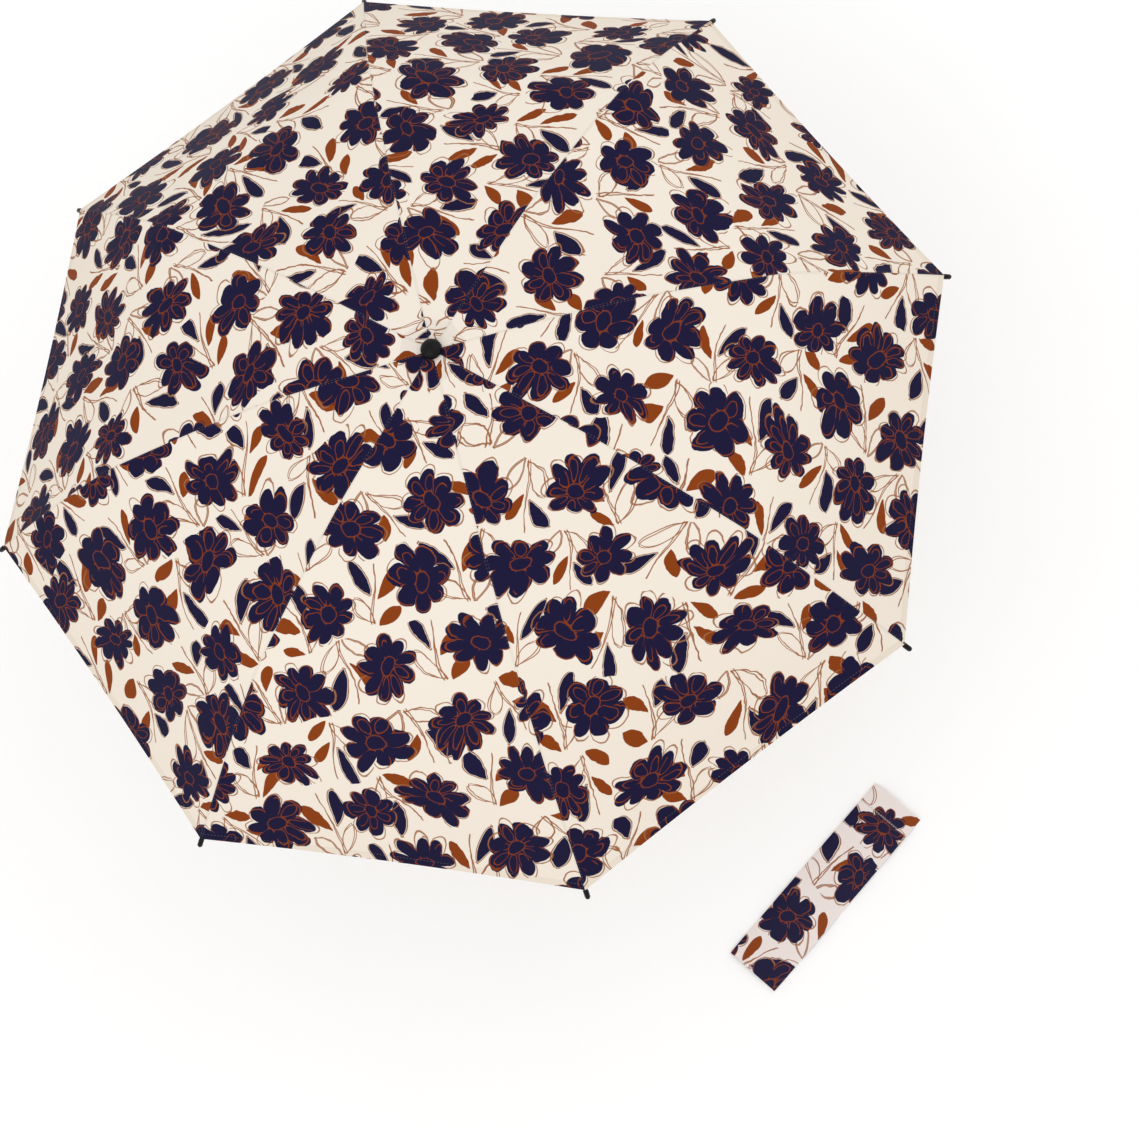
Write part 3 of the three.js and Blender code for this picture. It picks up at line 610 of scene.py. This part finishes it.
def seam_line():
    """The points (radius, height) that the cloth's outer face passes through over a rib."""
    crown_pivot = joint_place("top_rib_hinge_1")
    upper = joint_place("middle_rib_hinge_1")
    lower = joint_place("outer_rib_hinge_1")
    top_drop = math.atan2(crown_pivot.y - upper.y, upper.x - crown_pivot.x)
    middle_drop = math.atan2(upper.y - lower.y, lower.x - upper.x)
    rib = Vector((CANOPY_RADIUS, lower.y - (CANOPY_RADIUS - lower.x) * math.tan(OUTER_RIB_DROP)))
    wire_slope = -WIRE_DROP / (rib - lower).length
    hem_angle = OUTER_RIB_DROP - math.atan(wire_slope)
    along = Vector((math.cos(hem_angle), -math.sin(hem_angle)))
    hem = away(rib - along * TIP_OVERLAP, OUTER_RIB_DROP, FABRIC_ABOVE_TIP)
    over_upper = away(upper, (top_drop + middle_drop) / 2, FABRIC_ABOVE_UPPER_HINGE)
    over_lower = away(lower, (middle_drop + OUTER_RIB_DROP) / 2, FABRIC_ABOVE_LOWER_HINGE)
    hole = Vector((FABRIC_HOLE_RADIUS / math.cos(HALF_TURN), crown_pivot.y + FABRIC_TOP))
    bow = away((over_lower + hem) / 2, OUTER_RIB_DROP, FABRIC_BOW)
    return [hole, over_upper, over_lower, bow, hem]


SEAM = seam_line()
SPANS = len(SEAM) - 1


def seam_point(share):
    """Radius and height of the cloth over a rib, from 0 at the finial to 1 at the hem."""
    whole = min(int(share * SPANS), SPANS - 1)
    part = share * SPANS - whole
    before = SEAM[whole - 1] if whole else SEAM[0] * 2 - SEAM[1]
    after = SEAM[whole + 2] if whole + 2 < len(SEAM) else SEAM[-1] * 2 - SEAM[-2]
    start, end = SEAM[whole], SEAM[whole + 1]
    out_of = (end - before) * FABRIC_TENSION
    into = (after - start) * FABRIC_TENSION
    square, cube = part * part, part**3
    return (
        start * (2 * cube - 3 * square + 1)
        + out_of * (cube - 2 * square + part)
        + end * (3 * square - 2 * cube)
        + into * (cube - square)
    )


def seam_slope(share):
    """Unit direction down the seam."""
    step = 0.002
    a, b = seam_point(max(share - step, 0)), seam_point(min(share + step, 1))
    return (b - a).normalized()


LENGTH_STEPS = 400


def seam_lengths():
    """Distance along the seam from the finial, at even steps of share."""
    total = [0.0]
    last = seam_point(0)
    for i in range(1, LENGTH_STEPS + 1):
        here = seam_point(i / LENGTH_STEPS)
        total.append(total[-1] + (here - last).length)
        last = here
    return total


LENGTHS = seam_lengths()


def seam_length(share):
    place = min(max(share, 0), 1) * LENGTH_STEPS
    whole = min(int(place), LENGTH_STEPS - 1)
    return LENGTHS[whole] + (LENGTHS[whole + 1] - LENGTHS[whole]) * (place - whole)


def share_at_radius(radius):
    """The share at which the cloth over a rib is that far from the axis."""
    low, high = 0.0, 1.0
    for _ in range(40):
        middle = (low + high) / 2
        if seam_point(middle).x < radius:
            low = middle
        else:
            high = middle
    return low


def panel_point(panel, share, across):
    """A point of the cloth's outer face; across is -1 on the panel's first rib, 1 on the next."""
    open_middle = 1 - across * across
    station = share * (1 - HEM_DIP * open_middle)
    seam = seam_point(station)
    slope = seam_slope(station)
    inward = Vector((slope.y, -slope.x))
    seam = seam + inward * (PANEL_SAG * open_middle * station * station)
    azimuth = HALF_TURN * (2 * panel - 1)
    x, y = seam.x * math.cos(HALF_TURN), across * seam.x * math.sin(HALF_TURN)
    return Vector(
        (
            x * math.cos(azimuth) - y * math.sin(azimuth),
            x * math.sin(azimuth) + y * math.cos(azimuth),
            seam.y,
        )
    )


def panel_normal(panel, share, across):
    """Unit normal of the cloth, outwards."""
    step = 0.004
    low, high = max(share - step, 0), min(share + step, 1)
    down = panel_point(panel, high, across) - panel_point(panel, low, across)
    side = panel_point(panel, share, across + step) - panel_point(panel, share, across - step)
    return down.cross(side).normalized()


def print_place(panel, share, across):
    """Where that point of the panel is on the printed cloth, and its plain place in the panel."""
    side = across * seam_point(share).x * math.sin(HALF_TURN)
    down = seam_length(share)
    turn = panel * PANEL_CUT_TURN[1] + PANEL_CUT_TURN[0]
    start_x, start_y = (a + panel * b for a, b in zip(PANEL_CUT_START, PANEL_CUT_STEP))
    x = side * math.cos(turn) - down * math.sin(turn) + start_x
    y = side * math.sin(turn) + down * math.cos(turn) + start_y
    return (x, y, 0.0), (side, down, 0.0)


def edge_places(share, across):
    """Distances from the nearest seam, from the hem and from the axis along the cloth."""
    from_seam = (1 - abs(across)) * seam_point(share).x * math.sin(HALF_TURN)
    return (from_seam, LENGTHS[-1] - seam_length(share), seam_length(share))


# ---------------------------------------------------------------- meshes
def new_object(name, points, faces, smooth=True):
    mesh = bpy.data.meshes.new(name)
    mesh.from_pydata(points, [], faces)
    mesh.validate()
    made = bpy.data.objects.new(name, mesh)
    bpy.context.scene.collection.objects.link(made)
    if smooth:
        mesh.polygons.foreach_set("use_smooth", [True] * len(mesh.polygons))
    return made


def grid_piece(name, spots, rows, columns, wrap=False):
    """A closed sheet of cloth. spots holds (point, normal, {attribute: vector}) row by row."""
    outer = [s[0] for s in spots]
    inner = [s[0] - s[1] * CLOTH for s in spots]
    count = len(spots)
    faces, kinds = [], []

    def index(row, column):
        return row * columns + column % columns

    last = columns if wrap else columns - 1
    for row in range(rows - 1):
        for column in range(last):
            a, b = index(row, column), index(row, column + 1)
            c, d = index(row + 1, column + 1), index(row + 1, column)
            faces.append((a, d, c, b))
            kinds.append(0)
            faces.append((a + count, b + count, c + count, d + count))
            kinds.append(1)
    rims = [[(index(0, c + 1), index(0, c)) for c in range(last)]]
    rims.append([(index(rows - 1, c), index(rows - 1, c + 1)) for c in range(last)])
    if not wrap:
        rims.append([(index(r, 0), index(r + 1, 0)) for r in range(rows - 1)])
        rims.append([(index(r + 1, columns - 1), index(r, columns - 1)) for r in range(rows - 1)])
    for rim in rims:
        for a, b in rim:
            faces.append((a, a + count, b + count, b))
            kinds.append(2)
    made = new_object(name, outer + inner, faces)
    mesh = made.data
    normals = []
    for polygon, kind in zip(mesh.polygons, kinds):
        polygon.material_index = 1 if kind == 1 else 0
        for vertex in polygon.vertices:
            if kind == 2:
                normals.append(polygon.normal.copy())
            else:
                normal = spots[vertex % count][1]
                normals.append(normal if kind == 0 else -normal)
    mesh.normals_split_custom_set(normals)
    for key in spots[0][2]:
        layer = mesh.attributes.new(key, "FLOAT_VECTOR", "POINT")
        layer.data.foreach_set("vector", [v for s in spots + spots for v in s[2][key]])
    return made


# Piece, body, and the share of its width that the folded cloth keeps
PARTS = (
    ("inner", "top_rib", 0.090),
    ("middle", "middle_rib", 0.045),
    ("outer", "outer_rib", 0.050),
)
# Where the cloth is cut: round the crown and over the two rows of hinges
CUT_RADII = (CENTRE_RADIUS, SEAM[1].x, SEAM[2].x)


def cut_share(cut, across):
    """Where a cut crosses the panel, as a share. Cuts run square to the ribs; the hem is last."""
    if cut == len(CUT_RADII):
        return 1.0
    square = math.cos(HALF_TURN) ** 2 + abs(across) * math.sin(HALF_TURN) ** 2
    return share_at_radius(CUT_RADII[cut] / square)


DOWN_STEPS = (10, 10, 14)
ACROSS_STEPS = 10
CENTRE_DOWN_STEPS = 4
CENTRE_ACROSS_STEPS = 6
NEAR_A_SEAM = 0.995  # how far across a panel its own normal is taken, at most


def half_gore(part):
    """Area of half a panel between two of its cuts, and the width and length it is cut from.

    Lengths are taken along the seam, the panel's longest line. So none of them is too small, and
    the area comes out up to a fifth above the mesh's own.
    """
    steps = 40
    area = 0.0
    half_width = math.sin(HALF_TURN)
    for i in range(steps):
        across = (i + 0.5) / steps
        first, last = cut_share(part, across), cut_share(part + 1, across)
        middle = seam_point((first + last) / 2).x * half_width
        area += middle / steps * (seam_length(last) - seam_length(first))
    low, high = cut_share(part, 1), cut_share(part + 1, 0)
    return area, seam_point(high).x * half_width, seam_length(high) - seam_length(low)


def cloth_spot(panel, share, across):
    """One point of a panel's cloth, its normal, and the numbers that the material reads."""
    place, plain = print_place(panel, share, across)
    return (
        panel_point(panel, share, across),
        panel_normal(panel, share, max(min(across, NEAR_A_SEAM), -NEAR_A_SEAM)),
        {"print": place, "gore": plain, "edges": edge_places(share, across)},
    )


def cloth_piece(name, spots, down_steps, across_steps, faces):
    """A piece of a panel's cloth; faces is its two materials, outside and inside."""
    made = grid_piece(name, spots, down_steps + 1, across_steps + 1)
    for material in faces:
        made.data.materials.append(material)
    return made


def canopy_piece(rib, side, part, faces):
    """The cloth on one side of one rib, between two of its hinges. side 1 is anticlockwise."""
    name, body, keep = PARTS[part]
    panel = rib if side == 1 else (rib - 2) % RIBS + 1
    spots = []
    nearest = -1 if side == 1 else 0
    rows = [nearest + j / ACROSS_STEPS for j in range(ACROSS_STEPS + 1)]
    limits = [(cut_share(part, across), cut_share(part + 1, across)) for across in rows]
    first, last = cut_share(part, 1), cut_share(part + 1, 1)
    for i in range(DOWN_STEPS[part] + 1):
        for across, (start_share, end_share) in zip(rows, limits):
            share = start_share + (end_share - start_share) * i / DOWN_STEPS[part]
            spots.append(cloth_spot(panel, share, across))
    hand = "left" if side == 1 else "right"
    piece_name = f"canopy_{name}_{rib}_{hand}"
    made = cloth_piece(piece_name, spots, DOWN_STEPS[part], ACROSS_STEPS, faces)
    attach(made, f"{body}_{rib}")
    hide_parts(f"canopy_panel_{panel}")
    start, end = seam_point(first), seam_point(last)
    along = (end - start).normalized()
    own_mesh(made)
    area, wide, long = half_gore(part)


def canopy_centre(panel, faces):
    """One panel's share of the cloth that stays on the crown, under the finial."""
    down_steps, across_steps = CENTRE_DOWN_STEPS, CENTRE_ACROSS_STEPS
    spots = []
    for i in range(down_steps + 1):
        for j in range(across_steps + 1):
            across = -1 + 2 * j / across_steps
            share = cut_share(0, across) * i / down_steps
            spots.append(cloth_spot(panel, share, across))
    name = f"canopy_centre_{panel}"
    made = cloth_piece(name, spots, down_steps, across_steps, faces)
    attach(made, "upper_section")
    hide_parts(f"canopy_panel_{panel}")


def make_canopy():
    outside = canopy_cloth("canopy_cloth", 1.0, None)
    # The underside shows the print faintly and is darkened with painted shade.
    inside = canopy_cloth("canopy_cloth_back", BACK_PRINT, BACK_PAINTED_SHADE)
    for rib in range(1, RIBS + 1):
        for side in (1, -1):
            for part in range(len(PARTS)):
                canopy_piece(rib, side, part, (outside, inside))
        canopy_centre(rib, (outside, inside))


# ---------------------------------------------------------------- the sleeve
def make_sleeve():
    """A flat sewn sleeve lying on the floor, its mouth up and to the right in the picture."""
    along_steps, round_steps = 44, 36
    spots = []
    turn = Matrix.Rotation(SLEEVE_TURN, 4, "Z")
    half = SLEEVE_WIDTH / 2
    for i in range(along_steps + 1):
        share = i / along_steps
        down = share * SLEEVE_LENGTH
        fade = min(1.0, (1 - share) / SLEEVE_CLOSED_SHARE)
        belly = math.sin(fade * math.pi / 2) ** 0.7
        narrow = 1 - 0.012 * (1 - belly)
        for j in range(round_steps):
            angle = 2 * math.pi * j / round_steps
            side = math.cos(angle)
            up = math.sin(angle)
            flat_up = math.copysign(abs(up) ** SLEEVE_SQUARENESS, up)
            wrinkle = SLEEVE_WRINKLE * math.sin(down * 150 + side * 3) * abs(up)
            thick = (SLEEVE_THICKNESS / 2 - CLOTH) * (0.35 + 0.65 * belly)
            if up > 0:
                thick += wrinkle
            height = SLEEVE_THICKNESS / 2 + flat_up * thick
            point = Vector((SLEEVE_LENGTH / 2 - down, side * half * narrow, height))
            normal = Vector((0, side * thick, up * half)).normalized()
            on_top = up >= 0
            cut = (side * half if on_top else SLEEVE_WIDTH - side * half, down)
            printed = (cut[0] + SLEEVE_CUT_FROM[0], cut[1] + SLEEVE_CUT_FROM[1], 0.0)
            attributes = {"print": printed, "edges": (down, cut[0], 0.0)}
            spots.append((SLEEVE_CENTRE + turn @ point, turn @ normal, attributes))
    made = grid_piece("sleeve", spots, along_steps + 1, round_steps, wrap=True)
    made.data.materials.append(sleeve_cloth())
    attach(made, "handle")
    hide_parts("carrying_sleeve")


# ---------------------------------------------------------------- rivets
def dome_rivet(name, ends, radius, body):
    """A rivet along a line, with a low domed head at each end."""
    start, end = ends
    axis = (end - start).normalized()
    side = axis.orthogonal().normalized()
    up = axis.cross(side)
    head = radius * 0.45
    around = 12
    outline = [(-head, 0.35), (-head * 0.8, 0.75), (0.0, 1.0), (0.0, 0.6)]
    whole = (end - start).length
    rings = outline + [(whole - a, r) for a, r in reversed(outline)]
    points = [start + axis * (-head * 1.08)]
    for along, share in rings:
        for i in range(around):
            turn = 2 * math.pi * i / around
            outward = side * math.cos(turn) + up * math.sin(turn)
            points.append(start + axis * along + outward * radius * share)
    points.append(end + axis * (head * 1.08))
    faces = [(0, 1 + (i + 1) % around, 1 + i) for i in range(around)]
    for ring in range(len(rings) - 1):
        for i in range(around):
            a = 1 + ring * around + i
            b = 1 + ring * around + (i + 1) % around
            faces.append((a, b, b + around, a + around))
    last = len(points) - 1
    base = last - around
    faces += [(last, base + i, base + (i + 1) % around) for i in range(around)]
    made = new_object(name, points, faces)
    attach(made, body)
    return made


# name of the rivets, joint, body, length and head radius
RIVETS = (
    ("crown_pivot", "top_rib_hinge", "top_rib", 0.0036, 0.0009),
    ("upper_rivet", "middle_rib_hinge", "top_rib", 0.0034, 0.0011),
    ("lower_rivet", "outer_rib_hinge", "middle_rib", 0.0034, 0.0011),
    ("stretcher_rivet", "stretcher_hinge", "stretcher", 0.0052, 0.0009),
)


def make_button_spring(steel):
    """The coil behind the push button."""
    low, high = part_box("button_spring")
    wire, turns, steps, around = 0.00035, 5, 160, 8
    ring = (high.x - low.x) / 2 - wire
    middle = (low + high) / 2
    rise = high.y - low.y - 2 * wire
    points, faces = [], []
    for i in range(steps + 1):
        share = i / steps
        turn = 2 * math.pi * turns * share
        deep = low.y + wire + share * rise
        centre = Vector((math.cos(turn) * ring, deep, math.sin(turn) * ring))
        outward = Vector((math.cos(turn), 0, math.sin(turn)))
        for j in range(around):
            angle = 2 * math.pi * j / around
            offset = outward * math.cos(angle) + Vector((0, 1, 0)) * math.sin(angle)
            points.append(centre + offset * wire + Vector((middle.x, 0, middle.z)))
    for i in range(steps):
        for j in range(around):
            a, b = i * around + j, i * around + (j + 1) % around
            faces.append((a, b, b + around, a + around))
    faces.append(tuple(reversed(range(around))))
    faces.append(tuple(steps * around + j for j in range(around)))
    made = new_object("coil_spring", points, faces)
    made.data.materials.append(steel)
    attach(made, "handle")
    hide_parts("button_spring")
    travel = next(max(j["range_m"]) for j in frame["joints"] if j["name"] == "button_press")
    1 - travel / (high.y - low.y)
    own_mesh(made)


def make_rivets(steel):
    for joint in frame["joints"]:
        for name, hinge, body, span, radius in RIVETS:
            if not joint["name"].startswith(hinge):
                continue
            number = joint["name"].rsplit("_", 1)[1]
            centre, axis = Vector(joint["pos_m"]), Vector(joint["axis"])
            ends = (centre - axis * span / 2, centre + axis * span / 2)
            rivet = dome_rivet(f"{name}_{number}", ends, radius, f"{body}_{number}")
            rivet.data.materials.append(steel)


# ---------------------------------------------------------------- CAD nodes' finishes
def smooth_facets():
    """A modifier that smooths the CAD's facets and keeps its real edges sharp."""
    group = bpy.data.node_groups.new("smooth_facets", "GeometryNodeTree")
    group.interface.new_socket("Geometry", in_out="INPUT", socket_type="NodeSocketGeometry")
    group.interface.new_socket("Geometry", in_out="OUTPUT", socket_type="NodeSocketGeometry")
    start = group.nodes.new("NodeGroupInput")
    weld = group.nodes.new("GeometryNodeMergeByDistance")
    weld.inputs["Distance"].default_value = 0.000005
    angle = group.nodes.new("GeometryNodeInputMeshEdgeAngle")
    compare = group.nodes.new("FunctionNodeCompare")
    compare.operation = "LESS_EQUAL"
    compare.inputs[1].default_value = math.radians(28)
    shade = group.nodes.new("GeometryNodeSetShadeSmooth")
    shade.domain = "EDGE"
    faces = group.nodes.new("GeometryNodeSetShadeSmooth")
    faces.domain = "FACE"
    end = group.nodes.new("NodeGroupOutput")
    link = group.links.new
    link(start.outputs[0], weld.inputs["Geometry"])
    link(weld.outputs[0], faces.inputs[0])
    link(faces.outputs[0], shade.inputs[0])
    link(angle.outputs["Unsigned Angle"], compare.inputs[0])
    link(compare.outputs[0], shade.inputs["Shade Smooth"])
    link(shade.outputs[0], end.inputs[0])
    return group


def finish_nodes():
    soft_touch = rubbery_black()
    plastic = moulded_black()
    gloss = gloss_black()
    silver = brushed_metal(
        "brushed_silver", (0.52, 0.52, 0.53), (0.74, 0.74, 0.75), 0.24, (900.0, 900.0, 18.0)
    )
    steel = brushed_metal(
        "tube_steel", (0.48, 0.48, 0.49), (0.64, 0.64, 0.65), 0.14, (500.0, 500.0, 12.0)
    )
    spring = brushed_metal(
        "spring_steel", (0.40, 0.40, 0.41), (0.60, 0.60, 0.60), 0.22, (300.0, 300.0, 300.0)
    )
    paint = painted_black()
    fibre = glass_fibre()
    smooth = smooth_facets()
    make_rivets(spring)
    make_button_spring(spring)
    finishes = {
        "handle_shell": (soft_touch, "soft_black"),
        "handle_end_cap": (plastic, "black_plastic"),
        "accent_strip": (silver, "brushed_silver"),
        "push_button": (plastic, "black_plastic"),
        "button_spring": (spring, "spring_steel"),
        "lower_tube": (steel, "silver_tube"),
        "middle_tube": (steel, "silver_tube"),
        "upper_tube": (paint, "black_tube"),
        "runner": (plastic, "black_plastic"),
        "crown": (plastic, "black_plastic"),
        "finial": (gloss, "gloss_black"),
        "top_rib": (paint, "black_rib"),
        "middle_rib": (paint, "black_rib"),
        "outer_rib": (fibre, "glass_fibre"),
        "rib_tip": (gloss, "gloss_black"),
        "stretcher": (paint, "black_rib"),
    }
    for name, node in frame["nodes"].items():
        kind = name if name in finishes else name.rsplit("_", 1)[0]
        if kind not in finishes:
            continue
        material, slot_name = finishes[kind]
        node.data.materials.clear()
        node.data.materials.append(material)
        if "custom_normal" in node.data.attributes:
            node.data.attributes.remove(node.data.attributes["custom_normal"])
        node.modifiers.new("smooth_facets", "NODES").node_group = smooth


# ---------------------------------------------------------------- floor, lights and camera
FLOOR_SIZE = 12.0
FLOOR_HEIGHT = -0.0005


def make_stage():
    half = FLOOR_SIZE / 2
    corners = [(x * half, y * half, FLOOR_HEIGHT) for x, y in ((-1, -1), (1, -1), (1, 1), (-1, 1))]
    floor_sheet = new_object("floor", corners, [(0, 1, 2, 3)], smooth=False)
    floor_sheet.data.materials.append(floor_finish())


def area_light(name, place, target, size, power):
    light = bpy.data.lights.new(name, "AREA")
    light.shape = "SQUARE"
    light.size = size
    light.energy = power
    made = bpy.data.objects.new(name, light)
    bpy.context.scene.collection.objects.link(made)
    made.location = place
    made.rotation_euler = (Vector(target) - Vector(place)).to_track_quat("-Z", "Y").to_euler()


def make_lights():
    world = bpy.data.worlds.new("soft_sky")
    world.use_nodes = True
    back = world.node_tree.nodes["Background"]
    back.inputs["Color"].default_value = (1.0, 1.0, 1.0, 1.0)
    back.inputs["Strength"].default_value = SKY_STRENGTH
    bpy.context.scene.world = world
    area_light("key_light", (-1.2, -1.6, 2.6), (0, 0, 0.4), 2.6, 15)
    area_light("fill_light", (2.0, 0.6, 2.2), (0, 0, 0.4), 2.5, 8.6)


# Found by fitting the eight rib tips of the open umbrella to the photo
CAMERA_PLACE = (0.18013, -0.74699, 2.19797)
CAMERA_TURN = (15.96153, 8.11464, -14.02579)  # degrees about X, Y and Z
CAMERA_LENS = 62.402


def make_camera():
    camera = bpy.data.cameras.new("photo_camera")
    camera.lens = CAMERA_LENS
    camera.sensor_width = 36
    camera.sensor_fit = "AUTO"
    made = bpy.data.objects.new("photo_camera", camera)
    bpy.context.scene.collection.objects.link(made)
    made.location = CAMERA_PLACE
    made.rotation_euler = [math.radians(angle) for angle in CAMERA_TURN]
    bpy.context.scene.camera = made


# ---------------------------------------------------------------- everything together
bpy.context.scene.view_settings.view_transform = "Standard"
make_camera()
make_stage()
make_lights()
make_canopy()
make_sleeve()
finish_nodes()
